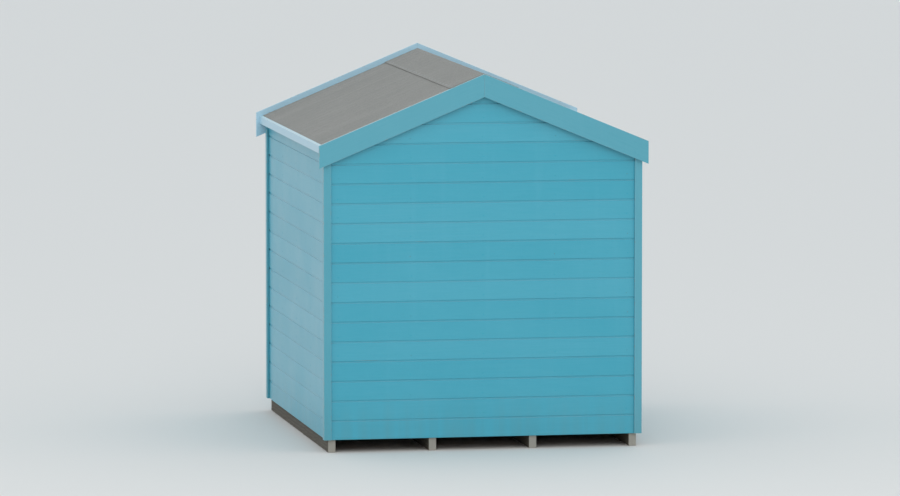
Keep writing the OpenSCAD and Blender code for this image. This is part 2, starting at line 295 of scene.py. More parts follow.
def timber(name, early, late, grey, grey_ends=0.0):
    """Softwood with rings along its grain, greyed by a share from 0 to 1, and painted dark under the floor,
    where it is wet and in shade.
    """
    made, tree, shader = new_material(name)
    grain = add(tree, "Attribute", attribute_name="grain").outputs["Vector"]
    knots = {"Vector": scaled(tree, grain, (4.5, 7, 7)), "Scale": 1.0}
    branch = add(tree, "TexVoronoi", knots).outputs["Distance"]
    bent = add(tree, "VectorMath", {0: grain, 1: spread(tree, branch, 0.32, 0.06, 0.0, 0.02)}).outputs[0]
    wave = {"Vector": scaled(tree, bent, (0.5, 1, 1)), "Scale": 28.0, "Distortion": 5.0, "Detail": 2.0,
            "Detail Scale": 0.6}
    rings = add(tree, "TexWave", wave, wave_type="RINGS", rings_direction="X").outputs["Fac"]
    fibre = cloud(tree, scaled(tree, grain, (9, 260, 260)), 1.0, 3.0)
    patches = cloud(tree, grain, 2.3)
    colour = mix(tree, spread(tree, rings, 0.2, 0.95, 0.0, 0.8), early, late)
    colour = mix(tree, spread(tree, fibre, 0.4, 0.8, 0.0, 0.4), colour, late)
    colour = mix(tree, spread(tree, branch, 0.12, 0.07, 0.0, 0.75), colour, KNOT)
    weather = rgb(150, 146, 138)
    colour = mix(tree, spread(tree, patches, 0.3, 0.7, 0.6 * grey, grey), colour, weather)
    up = add(tree, "SeparateXYZ", {0: add(tree, "TexCoord").outputs["Object"]}).outputs[2]
    # Painted shade: below the floor boards the timber is darkened, for the damp and for the shade under the
    # hut.
    damp_and_shade = spread(tree, up, FLOOR_Z - 0.002, FLOOR_Z - 0.012)
    colour = mix(tree, damp_and_shade, colour, rgb(150, 147, 142), "MULTIPLY")
    facing = add(tree, "SeparateXYZ", {0: add(tree, "NewGeometry").outputs["Normal"]}).outputs[1]
    ends = spread(tree, maths(tree, "ABSOLUTE", facing), 0.7, 0.9, 0.0, grey_ends)
    colour = mix(tree, ends, colour, rgb(172, 168, 158))
    tree.links.new(colour, shader.inputs["Base Color"])
    tree.links.new(spread(tree, fibre, 0.3, 0.7, 0.7, 0.9), shader.inputs["Roughness"])
    bump(tree, shader, fibre, 0.0008)
    return made


SAWN = timber("sawn timber", rgb(214, 186, 146), rgb(178, 138, 94), 0.1)
BEARER = timber("weathered bearers", rgb(176, 166, 146), rgb(112, 101, 84), 0.4, 0.75)
print("timber", [m.name for m in (SAWN, BEARER)])

# %% [markdown]
# Shed felt is bitumen with fine mineral chips pressed into its top. The chips give a sparkle of light and
# dark grains and a rough surface, and rain washes paler streaks down the slope.

# %% Roofing felt
def roofing_felt():
    """Grey mineral felt."""
    made, tree, shader = new_material("roofing felt")
    place = add(tree, "TexCoord").outputs["Object"]
    chips = add(tree, "TexVoronoi", {"Vector": place, "Scale": 520.0}).outputs["Color"]
    chip = add(tree, "SeparateColor", {0: chips}).outputs[0]
    patches = cloud(tree, place, 2.2, 5.0, 0.6)
    runs = cloud(tree, scaled(tree, place, (1.2, 18, 1.2)), 1.0, 4.0)
    colour = mix(tree, spread(tree, chip, 0.1, 0.9), rgb(123, 122, 117), rgb(165, 162, 155))
    colour = mix(tree, spread(tree, patches, 0.35, 0.7, 0.0, 0.4), colour, rgb(131, 132, 125))
    colour = mix(tree, spread(tree, runs, 0.5, 0.8, 0.0, 0.4), colour, rgb(166, 163, 158))
    tree.links.new(colour, shader.inputs["Base Color"])
    tree.links.new(spread(tree, chip, 0, 1, 0.78, 0.95), shader.inputs["Roughness"])
    bump(tree, shader, maths(tree, "ADD", chip, maths(tree, "MULTIPLY", patches, 3.0)), 0.0007)
    return made


# %% [markdown]
# The hinges, the hasp and the felt nails are dipped in zinc. Fresh zinc freezes in crystals as large as a
# fingernail, each a slightly different grey, and salt air dulls it in cloudy patches.

# %% Galvanised iron
def galvanised():
    """Dull zinc with its crystals."""
    made, tree, shader = new_material("galvanised iron")
    place = add(tree, "TexCoord").outputs["Object"]
    crystals = add(tree, "TexVoronoi", {"Vector": place, "Scale": 110.0}).outputs["Color"]
    crystal = add(tree, "SeparateColor", {0: crystals}).outputs[1]
    dull = cloud(tree, place, 30.0, 4.0, 0.6)
    colour = mix(tree, crystal, rgb(176, 180, 183), rgb(196, 199, 201))
    colour = mix(tree, spread(tree, dull, 0.45, 0.75, 0.0, 0.5), colour, rgb(158, 158, 154))
    tree.links.new(colour, shader.inputs["Base Color"])
    tree.links.new(spread(tree, dull, 0.3, 0.75, 0.34, 0.62), shader.inputs["Roughness"])
    shader.inputs["Metallic"].default_value = 0.85
    bump(tree, shader, dull, 0.0003)
    return made


FELT = roofing_felt()
ZINC = galvanised()
print("felt and zinc", FELT.name, ZINC.name)

# %% [markdown]
# A finished piece needs the same few steps each time: a mesh from the bmesh, an object that sits at the
# origin, a material, the body that it rides on, and the nodes that it stands for.
# The walls and doors are painted on the outside only, so a piece may say which faces stay bare, and these
# get a second material.

# %% Turn a bmesh into a piece
def new_object(bm, name):
    """Writes a bmesh to an object of the scene."""
    mesh = bpy.data.meshes.new(name)
    bm.to_mesh(mesh)
    bm.free()
    made = bpy.data.objects.new(name, mesh)
    bpy.context.scene.collection.objects.link(made)
    return made


def piece(bm, name, material, stands_for=(), round_up=False, bare=None):
    """Writes the mesh, puts the piece on the root body and hides the nodes that it stands for. round_up
    smooths all but the sharp corners, and bare picks the faces that are left as sawn timber."""
    bmesh.ops.recalc_face_normals(bm, faces=bm.faces)
    for face in bm.faces:
        face.material_index = int(bare is not None and bare(face))
    made = new_object(bm, name)
    mesh = made.data
    if round_up:
        mesh.shade_smooth()
        mesh.set_sharp_from_angle(angle=math.radians(40))
    mesh.materials.append(material)
    if bare:
        mesh.materials.append(SAWN)
    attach(made, "root")
    if stands_for:
        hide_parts(*stands_for)
    print(f"{name}: {len(mesh.vertices)} vertices, {len(mesh.polygons)} faces")
    return made


# %% Pick edges and ease them
def edges_of(verts):
    """The edges that join these vertices to one another, each once, and in the same order on every run."""
    edges = dict.fromkeys(edge for vert in verts for edge in vert.link_edges)
    return [edge for edge in edges if all(vert in verts for vert in edge.verts)]


def bevel(bm, edges, width, segments=2):
    """Eases the edges and returns the narrow faces that take their place."""
    return bmesh.ops.bevel(bm, geom=list(edges), offset=width, offset_type="OFFSET", segments=segments,
                           profile=0.5, affect="EDGES", clamp_overlap=True, material=-1)["faces"]


# %% [markdown]
# Most pieces start in one of two ways. An outline of corners is pushed out into a board, or a cube is
# stretched to fill a box. A row is made by copying its first board.

# %% Draw, copy and stretch
def whole(bm):
    """All that a bmesh holds so far."""
    return bm.verts[:] + bm.edges[:] + bm.faces[:]


def verts_in(geometry):
    """The vertices among what an operator gives back."""
    return [g for g in geometry if isinstance(g, bmesh.types.BMVert)]


def push_out(bm, outline, vec):
    """A board whose cut end is an outline of corners, pushed out along vec."""
    end = bm.faces.new([bm.verts.new(corner) for corner in outline])
    pushed = bmesh.ops.extrude_face_region(bm, geom=[end])["geom"]
    bmesh.ops.translate(bm, verts=verts_in(pushed), vec=vec)


def copy_of(bm, geometry):
    """Copies a part of a bmesh and returns the vertices of the copy."""
    return verts_in(bmesh.ops.duplicate(bm, geom=geometry)["geom"])


def bar(bm, low, high, shear=Matrix.Identity(4)):
    """A cube stretched to fill a box, and sheared if that is asked for."""
    size = Vector(high) - Vector(low)
    place = Matrix.Translation((Vector(low) + Vector(high)) / 2)
    return bmesh.ops.create_cube(bm, size=1, matrix=place @ shear @ Matrix.Diagonal((*size, 1)))["verts"]


# %% [markdown]
# The walls are shiplap. Each board has a hollow at the top of its face, a thin tongue above that, and a
# rebate at the back of its foot that drops over the tongue below, so rain runs off. One board is drawn as
# an outline of eight corners, pushed out to its length, and its inner corner is beveled into the hollow.
# Then it is copied up the wall.

# %% One shiplap board
HOLLOW = 0.011
TONGUE_T = 0.0045
TONGUE_UP = 0.008
LIP_T = 0.0037
REBATE_UP = 0.012


def shiplap_board(bm, half_length):
    """A board along X with its foot at z = 0 and its face at y = 0."""
    corners = [(-LIP_T, 0), (0, 0), (0, COVER - HOLLOW), (-TONGUE_T, COVER - HOLLOW),
               (-TONGUE_T, COVER + TONGUE_UP), (-BOARD_T, COVER + TONGUE_UP),
               (-BOARD_T, REBATE_UP), (-LIP_T, REBATE_UP)]
    push_out(bm, [(-half_length, y, z) for y, z in corners], (2 * half_length, 0, 0))

    def along(y, z):
        return [e for e in bm.edges if all(abs(v.co.y - y) + abs(v.co.z - z) < 1e-5 for v in e.verts)]

    bevel(bm, along(-TONGUE_T, COVER - HOLLOW), TONGUE_T - 0.0003, 4)
    bevel(bm, along(0, 0), 0.0016, 2)


# %% Copy the board up a wall
def boarding(half_length, top, seed):
    """Courses of shiplap from the foot of the walls to top, each set a hair in or out of line."""
    draw = random.Random(seed)
    bm = bmesh.new()
    shiplap_board(bm, half_length)
    first = whole(bm)
    for course in range(1, math.ceil((top - FOOT) / COVER)):
        verts = copy_of(bm, first)
        tilt = Matrix.Rotation(math.radians(draw.uniform(-0.16, 0.16)), 4, "X")
        place = Matrix.Translation((0, draw.uniform(-0.0005, 0.0), course * COVER)) @ tilt
        bmesh.ops.transform(bm, matrix=place, verts=verts)
    bmesh.ops.translate(bm, verts=bm.verts, vec=(0, 0, FOOT))
    return bm


def cut_above(bm, point, normal):
    """Cuts off what lies past a plane and closes the cut ends."""
    bmesh.ops.bisect_plane(bm, geom=whole(bm), plane_co=point, plane_no=normal, clear_outer=True)
    bmesh.ops.holes_fill(bm, edges=[e for e in bm.edges if e.is_boundary], sides=0)


def gable_boarding(seed):
    """Boarding cut along both slopes of the roof, a hair below the roof boards."""
    bm = boarding(FRAME_X, RIDGE, seed)
    for side in (1, -1):
        cut_above(bm, (0, 0, RIDGE - JOINT), (side * math.sin(PITCH), 0, math.cos(PITCH)))
    return bm


def past_the_brush(axis, face_at):
    """Picks the faces of a wall that look inwards or lie deeper than its tongues, where no brush goes."""

    def stays_bare(face):
        deep = abs(face.calc_center_bounds()[axis] - face_at) > TONGUE_T + 0.001
        return deep or face.normal[axis] * face_at < -0.5

    return stays_bare


# %% The back gable
back = gable_boarding(11)
mark_grain(back, 21)
bmesh.ops.translate(back, verts=back.verts, vec=(0, HALF_D, 0))
inside = past_the_brush(1, HALF_D)
piece(back, "back_boarding", BOARDING_PAINT, ["back_wall"], bare=inside)

# %% The two long sides
for side, name in ((1, "right"), (-1, "left")):
    wall = boarding(HALF_D, EAVES, 12 + side)
    cut_above(wall, (0, 0, EAVES - JOINT), (0, math.sin(PITCH), math.cos(PITCH)))
    mark_grain(wall, 24 + side)
    turn = Matrix.Rotation(-side * math.pi / 2, 4, "Z")
    bmesh.ops.transform(wall, matrix=Matrix.Translation((side * HALF_W, 0, 0)) @ turn, verts=wall.verts)
    inside = past_the_brush(0, side * HALF_W)
    piece(wall, name + "_boarding", BOARDING_PAINT, [name + "_wall"], bare=inside)

# %% [markdown]
# The front has the same courses round a doorway. Boards can't be cut in the middle by a plane, so here a
# Boolean takes a box out of the finished wall. It is applied at once, and the box is thrown away.

# %% Cut a doorway
def without_box(bm, low, high):
    """The same mesh with a box cut out of it."""
    wall = new_object(bm, "cut wall")
    cutter = bmesh.new()
    bar(cutter, low, high)
    box = new_object(cutter, "cut box")
    cut = wall.modifiers.new("doorway", "BOOLEAN")
    cut.operation = "DIFFERENCE"
    cut.solver = "EXACT"
    cut.object = box
    bpy.context.view_layer.update()
    result = bmesh.new()
    result.from_object(wall, bpy.context.evaluated_depsgraph_get())
    for gone in (wall, box):
        bpy.data.objects.remove(gone)
    return result


# %% The front, with its doorway
JAMB_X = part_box("door_posts")[1].x
SILL_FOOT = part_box("door_sill")[0].z
HEAD_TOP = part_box("door_head")[1].z
low = (-JAMB_X - JOINT, -0.1, SILL_FOOT - JOINT)
high = (JAMB_X + JOINT, 0.1, HEAD_TOP + JOINT)
front = without_box(gable_boarding(15), low, high)
mark_grain(front, 26)
turn = Matrix.Rotation(math.pi, 4, "Z")
bmesh.ops.transform(front, matrix=Matrix.Translation((0, -HALF_D, 0)) @ turn, verts=front.verts)
FRONT_NODES = ["front_wall_left", "front_wall_right", "front_gable", "front_apron"]
inside = past_the_brush(1, -HALF_D)
piece(front, "front_boarding", BOARDING_PAINT, FRONT_NODES, bare=inside)

# %% [markdown]
# The trims, posts, sill, bearers and frame have the right shape already, but their edges are as sharp as
# a drawing. A plane always takes the sharpness off, and that thin edge is what catches the light. A copy
# of each node is merged, its flat faces are joined up, and its edges are beveled. The narrow new faces
# are marked as worn, for the paint to chip there. The copy then stands for the node.

# %% Ease the edges of a node
def eased(node, name, material, width, seed):
    """A copy of a node with eased edges, which stands for the node."""
    bm = bmesh.new()
    bm.from_mesh(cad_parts[node].data)
    bmesh.ops.remove_doubles(bm, verts=bm.verts, dist=0.00005)
    bmesh.ops.dissolve_limit(bm, angle_limit=math.radians(1), verts=bm.verts, edges=bm.edges)
    worn = bm.faces.layers.float.new("worn")
    for face in bevel(bm, bm.edges, width):
        face[worn] = 1.0
    mark_grain(bm, seed)
    return piece(bm, name, material, [node])


# %% Painted trims
PALE_TRIMS = ["barge_front_left", "barge_front_right", "eaves_board_left", "eaves_board_right"]
TRIMS = ["barge_back_left", "barge_back_right", "door_posts", "door_head", "door_sill"]
TRIMS += [f"corner_trim_{end}_{side}" for end in ("front", "back") for side in ("left", "right")]
for number, node in enumerate(PALE_TRIMS + TRIMS):
    paint = PALE_PAINT if node in PALE_TRIMS else TRIM_PAINT
    eased(node, "painted_" + node, paint, 0.0025, 30 + number)

# %% Bearers and the frame inside
for number, node in enumerate(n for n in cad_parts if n.startswith("bearer")):
    eased(node, "weathered_" + node, BEARER, 0.003, 50 + number)
FRAME_NODES = ["floor_joists", "side_sole_plates", "end_sole_plates", "side_studs", "end_studs",
               "wall_plates", "gable_ties", "gable_framing", "ridge_beam", "purlins"]
for number, node in enumerate(FRAME_NODES):
    eased(node, "sawn_" + node, SAWN, 0.0015, 60 + number)

# %% [markdown]
# Floors and roofs are laid from planks. Each row starts from one cube that is stretched to the size of a
# plank and eased along its edges, and then it is copied across. A shear, which slides every point down by
# how far out it is, lays the roof planks on the slope with upright ends, as a carpenter cuts them.

# %% A row of planks
def planks(count, size, step, seed):
    """A row of count planks of a size, each moved on from the last by a step, centred on the origin."""
    bm = bmesh.new()
    bmesh.ops.create_cube(bm, size=1, matrix=Matrix.Diagonal((*size, 1)))
    bevel(bm, bm.edges, 0.0012, 1)
    first = whole(bm)
    for number in range(1, count):
        bmesh.ops.translate(bm, verts=copy_of(bm, first), vec=Vector(step) * number)
    bmesh.ops.translate(bm, verts=bm.verts, vec=-Vector(step) * (count - 1) / 2)
    mark_grain(bm, seed)
    return bm


# %% Floor boards
low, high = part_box("floor_boards")
FLOOR_PLANKS = 18
width = (high.x - low.x) / FLOOR_PLANKS
boards = planks(FLOOR_PLANKS, (width - JOINT, high.y - low.y, high.z - low.z), (width, 0, 0), 80)
bmesh.ops.translate(boards, verts=boards.verts, vec=(low + high) / 2)
piece(boards, "floor_planks", SAWN, ["floor_boards"])

# %% Roof boards
ROOF_PLANKS = 20
PLANK_W = 2 * DECK_Y / ROOF_PLANKS
for side, name in ((1, "right"), (-1, "left")):
    deck = planks(ROOF_PLANKS, (DECK_X, PLANK_W - JOINT, DECK_V), (0, PLANK_W, 0), 82 + side)
    bmesh.ops.translate(deck, verts=deck.verts, vec=(DECK_X / 2, 0, RIDGE + DECK_V / 2))
    slope = Matrix.Identity(4)
    slope[2][0] = -FALL
    mirror = Matrix.Diagonal((side, 1, 1, 1))
    bmesh.ops.transform(deck, matrix=mirror @ slope, verts=deck.verts)
    piece(deck, "roof_planks_" + name, SAWN, ["roof_deck_" + name])

# %% [markdown]
# Each slope has one sheet of felt, folded down over the roof boards at the eaves and at both verges. It
# starts as a flat grid, is sheared to the slope, and its three free edges are pushed down and rounded.
# The joints of the roof boards show through as faint hollows, because felt sags a little between its
# nails. Solidify gives it thickness.

# %% A sheet of felt on one slope
SHEET_T = 0.0024
FELT_TOP = RIDGE + DECK_V + FELT_V - SHEET_T / 2


def ripple(place, size, amount):
    """A small random rise or fall that is the same on every run."""
    return amount * noise.noise(Vector(place) * size)


def felt_sheet(side):
    """The sheet on the right-hand slope for side 1, and on the left-hand slope for side -1."""
    bm = bmesh.new()
    across, along = 28, 4 * ROOF_PLANKS
    bmesh.ops.create_grid(bm, x_segments=across, y_segments=along, size=0.5)
    place = Matrix.Translation((FELT_X / 2, 0, 0)) @ Matrix.Diagonal((FELT_X, 2 * FELT_Y, 1, 1))
    bmesh.ops.transform(bm, matrix=place, verts=bm.verts)
    free = [e for e in bm.edges if e.is_boundary and any(v.co.x > 1e-4 for v in e.verts)]
    skirt = bmesh.ops.extrude_edge_only(bm, edges=free)["geom"]
    bmesh.ops.translate(bm, verts=verts_in(skirt), vec=(0, 0, -DECK_V))
    bevel(bm, free, 0.004, 3)
    for vert in bm.verts:
        sag = 0.0005 * math.cos(2 * math.pi * vert.co.y / PLANK_W)
        vert.co.z += FELT_TOP - vert.co.x * FALL
        if vert.co.x < FELT_X - 0.02 and abs(vert.co.y) < FELT_Y - 0.02:
            vert.co.z += sag + ripple(vert.co, 5.0, 0.0009) + ripple(vert.co, 17.0, 0.0004)
    bmesh.ops.recalc_face_normals(bm, faces=bm.faces)
    bmesh.ops.solidify(bm, geom=bm.faces[:], thickness=SHEET_T)
    bmesh.ops.transform(bm, matrix=Matrix.Diagonal((side, 1, 1, 1)), verts=bm.verts)
    return bm


for side, name in ((1, "right"), (-1, "left")):
    piece(felt_sheet(side), "roof_felt_" + name, FELT, ["felt_" + name], round_up=True)

# %% [markdown]
# A narrower strip is bent over the ridge and lapped down on both sheets. Its edges are nailed every
# hundred millimetres, and between the nails they lift by about a millimetre, which gives the lap its
# slightly uneven line.

# %% The ridge strip
CAP_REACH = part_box("felt_cap")[1].x
CAP_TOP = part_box("felt_cap")[1].z
CAP_T = 0.0026
NAIL_STEP = 0.1
RIDGE_ROUND = 0.006
cap = bmesh.new()
bmesh.ops.create_grid(cap, x_segments=20, y_segments=98, size=0.5)
size = Matrix.Diagonal((2 * CAP_REACH, 2 * FELT_Y, 1, 1))
bmesh.ops.transform(cap, matrix=size, verts=cap.verts)
fold = [e for e in cap.edges if all(abs(v.co.x) < 1e-5 for v in e.verts)]
bevel(cap, fold, 0.010, 4)
for vert in cap.verts:
    edge = max(0.0, (abs(vert.co.x) - 0.8 * CAP_REACH) / (0.2 * CAP_REACH))
    lift = 0.0009 * edge * (1 - math.cos(2 * math.pi * vert.co.y / NAIL_STEP)) / 2
    vert.co.x += 0.5 * edge * ripple(vert.co, 4.0, 0.004)
    vert.co.z = CAP_TOP - math.hypot(vert.co.x, RIDGE_ROUND) * FALL + lift + ripple(vert.co, 6.0, 0.0004)
bmesh.ops.recalc_face_normals(cap, faces=cap.faces)
bmesh.ops.solidify(cap, geom=cap.faces[:], thickness=CAP_T)
piece(cap, "ridge_felt", FELT, ["felt_cap"], round_up=True)

# %% [markdown]
# Each door leaf is six upright boards, tongued together, with a V along each joint. The boards are nailed
# to three ledges, and two braces carry the free edge up from the hinges. A brace has level ends, so it is
# a plank that is sheared sideways. One door board is an outline seen from above, pushed up to its height.

# %% One door board
LEAF_BOARDS = 6
DOOR_JOINT = 0.0006
DOOR_T = 0.020
V_CUT = 0.004
GROOVE = (0.0066, 0.0134)
GROOVE_DEEP = 0.008
TONGUE = (0.007, 0.013)
TONGUE_LONG = 0.007


def door_board(bm, width, height):
    """A board along Z with its face at y = 0, a groove at its left edge and a tongue at its right."""
    tip = width + TONGUE_LONG
    left = [(0, DOOR_T), (0, GROOVE[1]), (GROOVE_DEEP, GROOVE[1]), (GROOVE_DEEP, GROOVE[0]),
            (0, GROOVE[0]), (0, V_CUT), (V_CUT, 0)]
    right = [(width - V_CUT, 0), (width, V_CUT), (width, TONGUE[0]), (tip, TONGUE[0]),
             (tip, TONGUE[1]), (width, TONGUE[1]), (width, DOOR_T)]
    push_out(bm, [(x, y, 0) for x, y in left + right], (0, 0, height))


# %% Ledges and braces
LEDGE_W = 0.095
LEDGE_IN = 0.030
LEDGE_OUT = 0.023


def plank_between(bm, low, high, lean=0.0):
    """An eased plank that fills a box, with its top moved over by lean."""
    shear = Matrix.Identity(4)
    shear[0][2] = lean / (high[2] - low[2])
    bevel(bm, edges_of(bar(bm, low, high, shear)), 0.003)


# %% A door leaf
low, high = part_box("door_leaf_right")
LEAF_FOOT, LEAF_TOP, DOOR_FACE = low.z, high.z, -low.y
LEDGE_LOW = LEAF_FOOT + LEDGE_W
LEDGE_STEP = (LEAF_TOP - 2 * LEDGE_W - LEDGE_LOW) / 2
LEAF_IN, LEAF_OUT = low.x, high.x
DOOR_COVER = (LEAF_OUT - LEAF_IN) / LEAF_BOARDS


def door_leaf(seed):
    """The right-hand leaf: its boards, then its ledges and braces."""
    bm = bmesh.new()
    door_board(bm, DOOR_COVER - DOOR_JOINT, LEAF_TOP - LEAF_FOOT)
    first = whole(bm)
    for number in range(1, LEAF_BOARDS):
        bmesh.ops.translate(bm, verts=copy_of(bm, first), vec=(DOOR_COVER * number, 0, 0))
    bmesh.ops.translate(bm, verts=bm.verts, vec=(LEAF_IN, -DOOR_FACE, LEAF_FOOT))
    cut_above(bm, (LEAF_OUT, 0, 0), (1, 0, 0))
    back = DOOR_T - DOOR_FACE
    left, right = LEAF_IN + LEDGE_IN, LEAF_OUT - LEDGE_OUT
    for number in range(3):
        z = LEDGE_LOW + LEDGE_STEP * number
        plank_between(bm, (left, back, z), (right, back + DOOR_T, z + LEDGE_W))
    for number in range(2):
        z = LEDGE_LOW + LEDGE_STEP * number
        middle = (left + right) / 2
        foot = (middle - LEDGE_W / 2, back, z + LEDGE_W)
        head = (middle + LEDGE_W / 2, back + DOOR_T, z + LEDGE_STEP)
        plank_between(bm, foot, head, left + LEDGE_W - right)
    mark_grain(bm, seed)
    return bm


def inside_of_door(face):
    """The backs of the door boards, and the ledges and braces that lie on them."""
    return face.calc_center_median().y > DOOR_T - DOOR_FACE - 0.0001


for side, name in ((1, "right"), (-1, "left")):
    leaf = door_leaf(91 if side > 0 else 92)
    bmesh.ops.transform(leaf, matrix=Matrix.Diagonal((side, 1, 1, 1)), verts=leaf.verts)
    piece(leaf, "door_boards_" + name, TRIM_PAINT, ["door_leaf_" + name], bare=inside_of_door)

# %% [markdown]
# A strap hinge is a flat bar that tapers to a round tip, rolled into a knuckle that turns on a pin. Its
# plate on the post carries the two outer knuckles. The bar is a stretched cube whose far end is pinched,
# and its tip is rounded by a wide bevel. Coach bolts hold the bar, and screws hold the plate.

# %% Small round heads
def dome(bm, place, way, radius, height, sides=8):
    """A low round head that faces a way. Its lower half is sunk in the surface."""
    turn = Vector((0, 0, 1)).rotation_difference(Vector(way)).to_matrix().to_4x4()
    seat = Matrix.Translation(Vector(place)) @ turn @ Matrix.Diagonal((radius, radius, height, 1))
    bmesh.ops.create_uvsphere(bm, u_segments=sides, v_segments=sides // 2, radius=1, matrix=seat)


def upright(edge, axis):
    """Whether an edge runs along an axis, 0, 1 or 2."""
    way = edge.verts[1].co - edge.verts[0].co
    return abs(way[axis]) > 0.99 * way.length


# %% One strap hinge
KNUCKLE_R = 0.006
KNUCKLE_L = 0.090
KNUCKLE_GAP = 0.0006
IRON_T = 0.003
STRAP_L = 0.320
STRAP_W = 0.036
TIP_W = 0.0216
BOLT_R, BOLT_H = 0.0085, 0.0042
SCREW_R, SCREW_H = 0.0042, 0.0013
PIN_R, PIN_H = 0.0042, 0.0022
HINGE_X = LEAF_OUT + 0.0015


def strap_hinge(bm, z):
    """A hinge of the right-hand leaf at height z: strap, plate, three knuckles, pin, bolts and screws."""
    face = -DOOR_FACE
    end = (HINGE_X - STRAP_L - TIP_W / 2, face - IRON_T, z - STRAP_W / 2)
    strap = bar(bm, end, (HINGE_X, face, z + STRAP_W / 2))
    tip = [v for v in strap if v.co.x < HINGE_X - 0.1]
    for vert in tip:
        vert.co.z = z + (vert.co.z - z) * TIP_W / STRAP_W
    bevel(bm, [e for e in edges_of(tip) if upright(e, 1)], TIP_W / 2 - 0.0004, 8)
    plate = (JAMB_X - KNUCKLE_R, face, z + KNUCKLE_L / 2)
    corners = bar(bm, (HINGE_X, face - IRON_T, z - KNUCKLE_L / 2), plate)
    bevel(bm, [e for e in edges_of(corners) if upright(e, 1)], 0.003, 3)
    third = KNUCKLE_L / 3
    for number in (-1, 0, 1):
        place = Matrix.Translation((HINGE_X, face - KNUCKLE_R, z + third * number))
        made = bmesh.ops.create_cone(bm, cap_ends=True, segments=20, radius1=KNUCKLE_R, radius2=KNUCKLE_R,
                                     depth=third - KNUCKLE_GAP, matrix=place)
        bevel(bm, [e for e in edges_of(made["verts"]) if not upright(e, 2)], 0.0006, 1)
    for end in (-1, 1):
        dome(bm, (HINGE_X, face - KNUCKLE_R, z + end * KNUCKLE_L / 2), (0, 0, end), PIN_R, PIN_H, 12)
    for share in (0.16, 0.5, 0.84):
        dome(bm, (HINGE_X - STRAP_L * share, face - IRON_T, z), (0, -1, 0), BOLT_R, BOLT_H, 14)
    for high in (-0.030, -0.010, 0.010, 0.030):
        aside = 0.006 if high in (-0.030, 0.010) else -0.006
        middle = (HINGE_X + JAMB_X) / 2
        dome(bm, (middle + aside, face - IRON_T, z + high), (0, -1, 0), SCREW_R, SCREW_H, 10)


# %% All six hinges
irons = bmesh.new()
for number in range(3):
    strap_hinge(irons, LEDGE_LOW + LEDGE_STEP * number + LEDGE_W / 2)
bmesh.ops.transform(irons, matrix=Matrix.Diagonal((-1, 1, 1, 1)), verts=copy_of(irons, whole(irons)))
piece(irons, "strap_hinge_irons", ZINC, ["strap_hinges"], round_up=True)

# %% [markdown]
# The hasp is a flap on a knuckle, which folds over a staple on the other leaf. The staple is half a ring:
# a small circle that is spun through half a turn. The flap's slot is cut like the doorway, with a box.

# %% The hasp
low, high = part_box("door_hasp")
HASP_Z = (low.z + high.z) / 2
FLAP_W, FLAP_L, STAPLE_R, WIRE_R = 0.038, 0.110, 0.011, 0.003
FACE = -DOOR_FACE
staple_x = low.x + FLAP_W / 2
barrel_x = staple_x + FLAP_L

flap = bmesh.new()
sheet = bar(flap, (low.x, FACE - IRON_T, HASP_Z - FLAP_W / 2), (barrel_x, FACE, HASP_Z + FLAP_W / 2))
nose = [v for v in sheet if v.co.x < staple_x]
bevel(flap, [e for e in edges_of(nose) if upright(e, 1)], FLAP_W / 2 - 0.0005, 10)
half_slot, half_reach = WIRE_R + 0.0015, STAPLE_R + 0.006
low_end = (staple_x - half_slot, FACE - 0.1, HASP_Z - half_reach)
high_end = (staple_x + half_slot, FACE + 0.1, HASP_Z + half_reach)
flap = without_box(flap, low_end, high_end)

# %% Its plate, knuckle, screws and staple
corners = bar(flap, (barrel_x, FACE - IRON_T, low.z), (high.x, FACE, high.z))
bevel(flap, [e for e in edges_of(corners) if upright(e, 1)], 0.004, 3)
knuckle = Matrix.Translation((barrel_x, FACE - KNUCKLE_R, HASP_Z))
bmesh.ops.create_cone(flap, cap_ends=True, segments=20, radius1=KNUCKLE_R, radius2=KNUCKLE_R, depth=FLAP_W,
                      matrix=knuckle)
for aside in (0.014, 0.034):
    for up in (-0.017, 0.017):
        dome(flap, (barrel_x + aside, FACE - IRON_T, HASP_Z + up), (0, -1, 0), SCREW_R, SCREW_H, 10)
foot = Matrix.Translation((staple_x, FACE, HASP_Z - STAPLE_R)) @ Matrix.Rotation(math.pi / 2, 4, "X")
ring = bmesh.ops.create_circle(flap, segments=12, radius=WIRE_R, cap_ends=True, matrix=foot)["verts"]
spun = ring + edges_of(ring) + [f for f in flap.faces if all(v in ring for v in f.verts)]
bmesh.ops.spin(flap, geom=spun, cent=(staple_x, FACE, HASP_Z), axis=(-1, 0, 0), angle=math.pi, steps=14)
piece(flap, "hasp_and_staple", ZINC, ["door_hasp"], round_up=True)

# %% [markdown]
# Every board is nailed to the frame behind it, about a quarter of the way up its face. The studs stand at
# the ends and the quarters of each wall, and beside the doorway. The heads were punched flush and painted
# over, so each is a low bump, and salt has brought a little rust through some of them. The felt is held
# by clout nails, which have wide flat zinc heads and stay bare.

# %% Paint over nail heads
def nail_paint():
    """The boarding paint over a nail head, with a share of the heads rusted through."""
    made, tree, shader = new_material("painted nail heads")
    place = add(tree, "TexCoord").outputs["Object"]
    rust = cloud(tree, place, 9.0, 3.0, 0.7)
    colour = mix(tree, spread(tree, rust, 0.52, 0.66, 0.0, 0.7), TEAL, rgb(128, 96, 74))
    tree.links.new(colour, shader.inputs["Base Color"])
    tree.links.new(spread(tree, rust, 0.4, 0.7, 0.45, 0.8), shader.inputs["Roughness"])
    return made


NAIL_PAINT = nail_paint()

# %% Nails of the boarding
NAIL_R, NAIL_H = 0.0032, 0.0010
NAIL_UP = 0.032
SIDE_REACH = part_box("side_studs")[1].y - HALF_STUD
END_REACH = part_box("end_studs")[1].x - HALF_STUD
JAMB_STUD = JAMB_X + HALF_STUD


